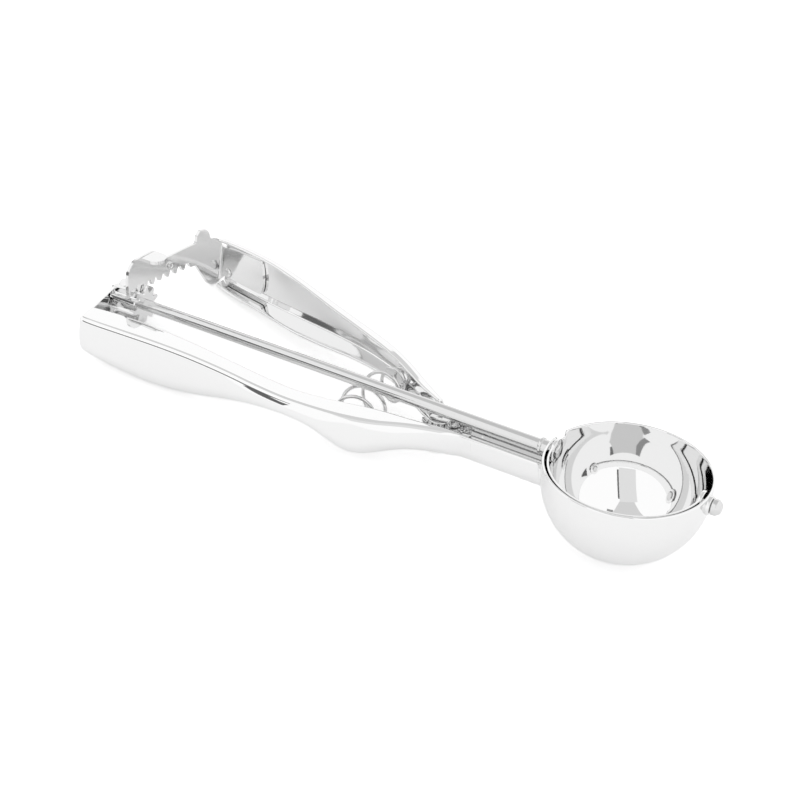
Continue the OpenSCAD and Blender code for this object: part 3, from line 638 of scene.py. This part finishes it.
def rackFold(v):
    # Where the sheet leaves the rack's arc and turns along the lever's wall, for each height.
    # The arc's tangent and the wall's line meet in a corner, which a quarter bend rounds off.
    y0, r = rack["foldStart"], rack["foldRadius"]
    depth = math.sqrt(rack["radius"] ** 2 - y0 ** 2)
    start, out = np.array([pivotX - depth, y0]), unit([y0 / depth, 1.0])
    inset = rack["tongueGap"] + rack["thickness"] / 2
    near, far = (leverWall(np.full(len(v), d), v) - inset for d in (rack["onWall"] - 1, rack["onWall"]))
    along = unit(np.stack([np.ones(len(v)), near - far], -1))
    target = np.stack([np.full(len(v), pivotX - rack["onWall"]), far], -1)
    gap = target - start
    cross = out[0] * along[:, 1] - out[1] * along[:, 0]
    a = (gap[:, 0] * along[:, 1] - gap[:, 1] * along[:, 0]) / cross
    b = (out[0] * gap[:, 1] - out[1] * gap[:, 0]) / cross
    swing = np.arccos(along @ out)
    reach = r * np.tan(swing / 2)
    return start, out, along, target, a - reach, b - reach, swing


def onRack(u, v, h):
    # The flat sheet bent into place: round the pivot at the rack's distance, then through the
    # fold, then along the inside of the lever's wall. h is the distance from the middle surface.
    bent = rack["radius"] + h
    arc = np.stack([pivotX - np.sqrt(np.maximum(bent ** 2 - u ** 2, 1)), u], -1)
    start, out, along, target, before, after, swing = rackFold(v)
    normal = np.array([-out[1], out[0]])
    s, r = u - rack["foldStart"], rack["foldRadius"]
    phi = np.clip((s - before) / r, 0, swing)[:, None]
    straight = np.clip(s, 0, before)[:, None]
    here = start + straight * out + r * (np.sin(phi) * out - (1 - np.cos(phi)) * normal)
    rest = s - before - r * swing
    d = np.minimum(rack["onWall"] - (rest - after) * along[:, 0], rack["wallLimit"])
    wall = leverWall(np.minimum(d, lever["end"]), v) - rack["tongueGap"] - rack["thickness"] / 2
    beyond = np.maximum(after - rest, 0)[:, None] * along
    tongue = np.stack([pivotX - np.minimum(d, rack["onWall"]),
                       np.where(d < rack["onWall"], wall, target[:, 1])], -1)
    here = np.where((rest > 0)[:, None], tongue - beyond, here)
    turned = normal * np.cos(phi) + out * np.sin(phi)
    plan = np.where((s > 0)[:, None], here + h[:, None] * turned, arc)
    return np.column_stack([plan, v])


def rackOutline():
    # From the lower free corner: down and up each tooth space, the wide end with its hook, the
    # top of the bar, the tab's ramp and the round free end.
    low = pitchRadius - rack["addendum"]
    fan = firstSpace + rack["spaces"] * pitch - 0.9
    half = (pitch + rack["backlash"]) / 4
    mouth, bottom = half + rack["addendum"] * flank, half - rack["dedendum"] * flank
    points = [(freeEnd, low)]
    for k in range(rack["spaces"]):
        s = (firstSpace + k * pitch) / rack["radius"]
        y = rack["radius"] * math.sin(s)
        space = softened([(y - mouth - 0.6, low), (y - mouth, low), (y - bottom, rootZ),
                          (y + bottom, rootZ), (y + mouth, low), (y + mouth + 0.6, low)], 0.18, 3)
        points += [tuple(p) for p in space]
    hookZ, fanTop = rack["hookHeight"], barTop + 1.3
    _, _, _, _, before, after, swing = rackFold(np.array([4.0]))
    foldEnd = rack["foldStart"] + (before + rack["foldRadius"] * swing)[0]
    end = foldEnd + after[0] + (rack["onWall"] - tongueEnd) * 1.03
    lower, upper, tipLength = rack["tongueLow"], rack["tongueHigh"], rack["tongueRound"]
    a = np.linspace(-np.pi / 2, np.pi / 2, 17)[1:-1]
    tip = np.stack([end + tipLength * (np.cos(a) - 1),
                    (lower + upper) / 2 + (upper - lower) / 2 * np.sin(a)], -1)
    rest = [(fan + 1, low), (rack["tipOut"] - 3.4, rack["tipLow"] + 1), (rack["tipOut"] - 2, rack["tipLow"]),
            (rack["tipOut"], rack["tipLow"]), (foldEnd - 1.6, lower - 2), (foldEnd + 0.2, lower),
            (end - tipLength, lower)]
    rest += [tuple(p) for p in tip]
    rest += [(end - tipLength, upper), (end - 14, upper - 0.6), (foldEnd + 0.4, upper - 1.6),
            (foldEnd - 0.6, upper - 1.3), (foldEnd - 1.8, barTop), (fan + 9, fanTop),
            (fan + 7.6, fanTop), (fan + 7.0, hookZ - 1.4), (fan + 5.8, hookZ), (fan + 3.4, hookZ),
            (fan + 2, hookZ - 1.6), (fan + 1.6, fanTop), (fan, fanTop),
            (rack["tabStart"] + rack["tabWidth"] + 3.4, barTop + 0.3),
            (rack["tabStart"] + rack["tabWidth"], rack["tabHeight"])]
    r = rack["lobeRadius"]
    rest += [(freeEnd + r, rack["tabHeight"])]
    points += [tuple(p) for p in softened([points[-1]] + rest, 0.7, 4)[1:]]
    angle = np.linspace(np.pi / 2, np.pi, 14)[1:]
    lobe = np.stack([freeEnd + r + r * np.cos(angle), rack["tabHeight"] - r + r * np.sin(angle)], -1)
    return np.vstack([np.array(points), lobe])


def tabPlate():
    # The tab is folded over from the top of the free end, and its end is a half circle
    w, reach, t = rack["tabWidth"], rack["tabReach"], rack["thickness"]
    angle = np.linspace(-np.pi / 2, np.pi / 2, 17)
    tip = np.stack([reach - w / 2 + w / 2 * np.cos(angle), w / 2 + w / 2 * np.sin(angle)], -1)
    outline = np.vstack([[(-0.5, 0)], tip, [(-0.5, w)]])

    def warp(u, v, h):
        drop = rack["tabDrop"] * np.maximum(rack["tabBend"] - u, 0) ** 2
        return np.stack([pivotX - rack["radius"] + u, rack["tabStart"] + v,
                         rack["tabHeight"] - t / 2 - drop + h], -1)
    return platePart(resampled(outline, 0.8), t, 1.3, warp)


def makeRack():
    plate = platePart(resampled(rackOutline(), 0.8), rack["thickness"], 0.55, onRack)
    stud = softened([(0, 0), (0, 1.3), (0.75, 1.3), (0.75, 0.75), (0.5, 0.55), (0.5, 0)], 0.12)
    return [plate, tabPlate(),
            lathed(stud, [pivotX - rack["radius"] + 1.45, rack["studOut"], rack["studHeight"]],
                   [1, 0, 0], 32)]


pinion = {"back": 0.7, "length": 11.0, "chamfer": 0.35, "bore": 2.03, "washerRadius": 3.5}


def makePinion():
    # Teeth with straight flanks at the pressure angle and rounded tips. The outline is drawn in
    # from the bore to the face, over a small chamfer, along the roller and back.
    tip, root = pitchRadius + rack["addendum"], pitchRadius - rack["dedendum"]
    quarter = (pitch - rack["backlash"]) / 4
    r = np.array([root, (root + pitchRadius) / 2, pitchRadius, (pitchRadius + tip) / 2, tip - 0.12, tip])
    across = (quarter - (r - pitchRadius) * flank) / r * [1, 1, 1, 1, 1, 0.8]
    # A tooth stands in the rack's space nearest the rod, so the first is turned by that place
    first = -(firstSpace + pitch) / pitchRadius
    turns = first + np.arange(rack["teeth"]) * 2 * np.pi / rack["teeth"]
    r = np.tile(np.concatenate([r, r[::-1]]), rack["teeth"])
    angle = (turns[:, None] + np.concatenate([-across, across[::-1]])).ravel()
    outline = np.stack([-r * np.sin(angle), r * np.cos(angle)], -1)
    radius = np.linalg.norm(outline, axis=1)
    unitOut = outline / radius[:, None]
    back, length, chamfer = endX + pinion["back"], pinion["length"], pinion["chamfer"]
    stages = [(0, None), (0, chamfer), (chamfer, 0), (length - chamfer, 0), (length, chamfer), (length, None)]
    rings = []
    for along, inset in stages:  # no inset stands for the bore
        size = np.full(len(outline), pinion["bore"]) if inset is None else radius - inset
        yz = unitOut * size[:, None]
        rings.append(np.stack([np.full(len(yz), back + along), yz[:, 0], yz[:, 1]], -1))
    rings.append(rings[0])
    rings = np.array(rings)
    return [(rings.reshape(-1, 3), gridFaces(len(rings), rings.shape[1], True))]


def makeRod():
    bossEnd = endX - bossLength
    body = softened([
        (bossEnd - 0.2, 0), (bossEnd - 0.2, rod["journal"]), (endX + 0.1, rod["journal"]),
        (endX + 0.1, rod["radius"]), (rod["shoulder"], rod["radius"]), (rod["shoulder"], rod["journal"]),
        (-lugFace + 0.2, rod["journal"]), (-lugFace + 0.2, 0)], 0.25)
    cap = head(rod["headRadius"], rod["headHeight"])
    return [lathed(body, [0, 0, 0], [1, 0, 0], 72), lathed(cap, [bossEnd - 0.1, 0, 0], [-1, 0, 0]),
            lathed(cap, [-lugFace + 0.03, 0, 0], [1, 0, 0])]


makePiece("toothedRack", makeRack(), stampedSteel, "lever", ["rack"],
          bevel=rack["bevel"], sharp=30)
makePiece("pinionRoller", makePinion(), stampedSteel, "drive", ["pinion"], sharp=30)
makePiece("driveRod", makeRod(), drawnSteel, "drive", ["drive_rod"], sharp=50)
pinionRing = washer(pinion["bore"], pinion["washerRadius"], 0.5)
makePiece("pinionWasher", [lathed(pinionRing, [endX + 0.1, 0, 0], [1, 0, 0])],
          stampedSteel, "frame", ["pinion_washer"])
print("rack and rod made")


# Pivot, rivets and bushing

post = {"radius": 3.4, "pin": 2.0, "top": -3.0, "base": -9.4, "footRadius": 3.2, "footHeight": 1.0,
        "washerBore": 2.03, "washerRadius": 4.5, "washerThickness": 0.5}
rivet = {"d": 108.0, "pin": 1.0, "headRadius": 1.7, "headHeight": 0.7}
frontPin = {"pin": 1.2, "standOff": 1.1, "headRadius": 2.5, "headLength": 2.8, "straight": 1.54,
            "tipRadius": 1.5, "innerRadius": 2.0, "innerHeight": 0.8,
            "collarBore": 1.23, "collarRadius": 2.9, "collarLength": 1.6}
bush = {"start": -28.0, "bore": 1.43, "radius": 2.2, "flangeRadius": 2.6, "flange": 0.9}


def makePost():
    # From the top: a soft edge, a shallow centre dimple, the shoulder, the pin and its peened foot
    profile = softened([
        (0.35, 0), (0.35, 0.6), (0, 1.1), (0, post["radius"]), (post["top"] - post["base"], post["radius"]),
        (post["top"] - post["base"], post["pin"]), (post["top"] - floorZ + 0.2, post["pin"]),
        (post["top"] - floorZ + 0.2, 0)], 0.45)
    return [lathed(profile, [pivotX, 0, post["top"]], [0, 0, -1]),
            lathed(head(post["footRadius"], post["footHeight"]), [pivotX, 0, floorZ - 0.1], [0, 0, -1])]


def rackRivet():
    # On the lever's inner wall, along the wall's own normal
    d, z = np.array([rivet["d"]]), np.array([0.0])
    y = leverWall(d, z)[0]
    turnOut = math.atan(leverWall(d + 1, z)[0] - y)
    lean = math.atan(leverWall(d, z + 1)[0] - y)
    normal = unit([math.sin(turnOut), math.cos(turnOut), -math.tan(lean)])
    base = np.array([pivotX - d[0], y, 0])
    inner = -rack["thickness"] - rack["tongueGap"] - 0.03
    pin = softened([(inner, 0), (inner, rivet["pin"]), (sheet, rivet["pin"]), (sheet, 0)], 0.1)
    cap = head(rivet["headRadius"], rivet["headHeight"], 0.25)
    return [lathed(pin, base, normal, 32), lathed(cap, base + normal * inner, -normal, 40)]


def frontRivet():
    # The pin through bowl and lug, the head with its tapered end outside, and a peened end inside
    out, r = bowl["radius"] + frontPin["standOff"], frontPin["pin"]
    pin = softened([(lugFace - 0.2, 0), (lugFace - 0.2, r), (out + 0.1, r), (out + 0.1, 0)], 0.1)
    outer = softened([(0, 0), (0, frontPin["headRadius"]), (frontPin["straight"], frontPin["headRadius"]),
                      (frontPin["headLength"], frontPin["tipRadius"]), (frontPin["headLength"], 0)], 0.45, 6)
    peened = head(frontPin["innerRadius"], frontPin["innerHeight"], 0.3)
    return [lathed(pin, [0, 0, 0], [1, 0, 0], 40), lathed(outer, [out, 0, 0], [1, 0, 0]),
            lathed(peened, [lugFace - 0.1, 0, 0], [-1, 0, 0], 48)]


def bushing():
    # A sleeve through the bowl's wall with a small flange outside
    length = -bush["start"] - wiperOuter - 0.1
    bore, radius, wide, flange = bush["bore"], bush["radius"], bush["flangeRadius"], bush["flange"]
    ring = softened([(2.0, bore), (0, bore), (0, wide), (flange, wide), (flange, radius), (length, radius),
                     (length, bore), (2.0, bore)], 0.15)
    return [lathed(ring, [bush["start"], 0, 0], [1, 0, 0], 56)]


makePiece("pivotPost", makePost(), drawnSteel, "frame", ["pivot_post"])
pivotRing = washer(post["washerBore"], post["washerRadius"], post["washerThickness"])
makePiece("pivotWasher", [lathed(pivotRing, [pivotX, 0, leverFloorZ + sheet + 0.1], [0, 0, 1])],
          stampedSteel, "frame", ["pivot_washer"])
makePiece("rackRivet", rackRivet(), stampedSteel, "lever", ["rack_rivet"])
makePiece("frontRivet", frontRivet(), drawnSteel, "frame", ["front_rivet"])
collarRing = washer(frontPin["collarBore"], frontPin["collarRadius"], frontPin["collarLength"], 0.3)
makePiece("frontCollar", [lathed(collarRing, [bowl["radius"] - 0.6, 0, 0], [1, 0, 0])],
          stampedSteel, "frame", ["front_collar"])
makePiece("rodBushing", bushing(), drawnSteel, "frame", ["rod_bushing"])


# Return spring

spring = {"wire": 0.6, "stepsPerTurn": 48, "keep": 0.9}
# Turns so far, then the coil's middle (X, Y, Z), its radius and how far the turn faces round
coilRows = np.array([
    [0, -83.2, -16.83, -8.5, 4.6, 20], [1, -83.8, -15.4, -8.5, 4.6, 20], [2, -87.2, -10.6, -8.9, 5.4, 15],
    [3, -90.6, -5.0, -9.4, 6.5, 10], [4, -91.4, 1.8, -9.6, 6.8, 0], [5, -88.8, 9.6, -6.8, 6.2, -10],
    [6, -86.8, 13.0, -4.7, 4.4, -18], [7, -85.8, 16.3, -3.9, 2.7, -20], [8, -85.4, 19.15, -4.0, 2.5, -20],
])


def makeSpring():
    # The wire's middle circles a line that crosses under the rod. Each circle stands across that
    # line, turned a little about the upright axis, and a round section is carried along it.
    turns = len(coilRows) - 1
    values = stationValues(coilRows, np.linspace(0, turns, turns * spring["stepsPerTurn"] + 1), 0)
    swing = np.pi / 2 - 2 * np.pi * values[:, :1]
    face = np.radians(values[:, 5:6])
    radius = values[:, 4:5]
    path = values[:, 1:4] + radius * np.hstack([
        np.cos(swing) * np.cos(face), np.cos(swing) * np.sin(face), np.sin(swing)])
    along = unit(np.gradient(path, axis=0))
    first = unit(np.cross(along, np.hstack([-np.sin(face), np.cos(face), 0 * face])))
    second = np.cross(along, first)
    angle = np.linspace(0, 2 * np.pi, 20, endpoint=False)[None, :, None]
    size = np.full((len(path), 1, 1), spring["wire"])
    size[[0, -1]] *= 0.7
    rings = path[:, None] + size * (np.cos(angle) * first[:, None] + np.sin(angle) * second[:, None])
    return [ringSolid(rings)]


coil = makePiece("returnSpring", makeSpring(), drawnSteel, "frame", ["return_spring"])
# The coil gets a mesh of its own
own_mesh(coil)
print("pieces made")


# Floor, world, cards and camera

camera = {"position": (115.0, -333.7, 234.8), "yaw": 29.91, "pitch": 31.57, "roll": -2.9,
          "focal": 1446 / 800 * 36}
studio = {"floorSize": 6.0, "white": 1.0, "mirroredWhite": 1.12, "floorSeen": 0.38, "floorMirrored": 0.13,
          "cardDistance": 1.5, "front": -66.0}
# What hangs over the table and shows only in the steel: a tone and its stations, each the angle along
# an arch from the camera's side (0) over the top (90) to the back, and then its two sides across it
cards = [
    ("#ECECEC", [(30, -16, 7.5), (78, -22, 1.5)]),
    ("#646464", [(33, 7.5, 10), (74, 2, 4)]),
    ("#DEDEDE", [(78, -18, 2), (95, -25, 9), (105, -30, 9), (125, -31, 9), (150, -32, 15)]),
    ("#9C9C9C", [(92, 9, 17), (105, 9, 17), (125, 9, 20), (150, 15, 24)]),
    ("#7A7A7A", [(122, -34, -31), (150, -40, -32)]),
]
sideCard = {"tone": "#6A6A6A", "turn": (-142, -116), "height": (8, 24)}  # its edge runs along the rod


def emitter(name, shade):
    material, tree = newMaterial(name)
    glow = addNode(tree, "ShaderNodeEmission", {}, {"Color": shade, "Strength": 1.0})
    addNode(tree, "ShaderNodeOutputMaterial", {}, {"Surface": glow.outputs[0]})
    return material


def archPoints(a, b):
    # A direction at a along the arch, from the camera's side over the top, turned sideways by b
    facing = math.radians(studio["front"])
    ahead, up = np.array([math.cos(facing), math.sin(facing), 0]), np.array([0, 0, 1.0])
    a, b = np.radians(a)[..., None], np.radians(b)[..., None]
    return np.cos(b) * (np.cos(a) * ahead + np.sin(a) * up) + np.sin(b) * np.cross(up, ahead)


def wallPoints(a, b):
    # A direction turned a about the upright and raised by b
    a, b = np.radians(a)[..., None], np.radians(b)[..., None]
    return np.concatenate([np.cos(b) * np.cos(a), np.cos(b) * np.sin(a), np.sin(b)], -1)


def hangCard(name, directions, tone):
    # A patch of a sphere about the bowl, seen by glossy rays alone
    rows, columns = directions.shape[:2]
    mesh = bpy.data.meshes.new(name)
    mesh.from_pydata((studio["cardDistance"] * directions).reshape(-1, 3).tolist(), [],
                     gridFaces(rows, columns, False))
    card = bpy.data.objects.new(name, mesh)
    bpy.context.scene.collection.objects.link(card)
    mesh.materials.append(emitter(name, linear(tone)))
    card.visible_camera = card.visible_diffuse = card.visible_shadow = False
    card.visible_transmission = card.visible_volume_scatter = False


def makeCards():
    # Between its stations a card's sides run straight: each row lies at its share of the way across
    for number, (tone, stations) in enumerate(cards):
        along, left, right = np.array(stations, float).T
        a = np.linspace(along[0], along[-1], 25)
        left, right = np.interp(a, along, left), np.interp(a, along, right)
        share = np.linspace(0, 1, 9)
        across = left[:, None] + (right - left)[:, None] * share
        hangCard("card" + str(number + 1), archPoints(a[:, None] + 0 * across, across), tone)
    turns, heights = np.meshgrid(np.linspace(*sideCard["turn"], 9), np.linspace(*sideCard["height"], 5))
    hangCard("sideCard", wallPoints(turns, heights), sideCard["tone"])


def makeFloor():
    # White to the eye, a little greyer in the steel, and its own diffuse paint keeps the shadow
    h = studio["floorSize"] / 2
    mesh = bpy.data.meshes.new("floor")
    mesh.from_pydata([(-h, -h, 0), (h, -h, 0), (h, h, 0), (-h, h, 0)], [], [(0, 1, 2, 3)])
    floor = bpy.data.objects.new("floor", mesh)
    bpy.context.scene.collection.objects.link(floor)
    material, tree = newMaterial("whiteTable")
    path = addNode(tree, "ShaderNodeLightPath")
    paint = addNode(tree, "ShaderNodeBsdfDiffuse", {}, {"Color": linear("#F4F4F4")})
    seen = addNode(tree, "ShaderNodeMath", {"operation": "MULTIPLY"}, {
        0: path.outputs["Is Camera Ray"], 1: studio["floorSeen"]})
    mirrored = addNode(tree, "ShaderNodeMath", {"operation": "MULTIPLY_ADD"}, {
        0: path.outputs["Is Glossy Ray"], 1: studio["floorMirrored"], 2: seen.outputs[0]})
    glow = addNode(tree, "ShaderNodeEmission", {}, {"Color": (1, 1, 1, 1), "Strength": mirrored.outputs[0]})
    total = addNode(tree, "ShaderNodeAddShader", {}, {0: paint.outputs[0], 1: glow.outputs[0]})
    addNode(tree, "ShaderNodeOutputMaterial", {}, {"Surface": total.outputs[0]})
    mesh.materials.append(material)


def makeWorld():
    world = bpy.data.worlds.new("studio")
    bpy.context.scene.world = world
    world.use_nodes = True
    tree = world.node_tree
    tree.nodes.clear()
    path = addNode(tree, "ShaderNodeLightPath")
    level = addNode(tree, "ShaderNodeMapRange", {}, {
        "Value": path.outputs["Is Glossy Ray"], "To Min": studio["white"], "To Max": studio["mirroredWhite"]})
    sky = addNode(tree, "ShaderNodeBackground", {}, {"Color": (1, 1, 1, 1), "Strength": level.outputs[0]})
    addNode(tree, "ShaderNodeOutputWorld", {}, {"Surface": sky.outputs[0]})


def makeCamera():
    # The photograph's camera, worked out against the rod, the bowl's rim and the handles
    yaw, dip, roll = (math.radians(camera[key]) for key in ("yaw", "pitch", "roll"))
    ahead = np.array([-math.sin(yaw) * math.cos(dip), math.cos(yaw) * math.cos(dip), -math.sin(dip)])
    level = np.array([math.cos(yaw), math.sin(yaw), 0])
    below = np.cross(ahead, level)
    right = math.cos(roll) * level + math.sin(roll) * below
    down = math.cos(roll) * below - math.sin(roll) * level
    data = bpy.data.cameras.new("camera")
    data.lens = camera["focal"]
    data.sensor_width = 36
    data.clip_start, data.clip_end = 0.01, 20
    view = bpy.data.objects.new("camera", data)
    bpy.context.scene.collection.objects.link(view)
    turned = np.stack([right @ basis, -down @ basis, -ahead @ basis], 1)
    spot = place(camera["position"])
    view.matrix_world = Matrix([list(turned[k]) + [spot[k]] for k in range(3)] + [[0, 0, 0, 1]])
    bpy.context.scene.camera = view


makeFloor()
makeCards()
makeWorld()
makeCamera()
bpy.context.scene.view_settings.view_transform = "Standard"
print("studio made")
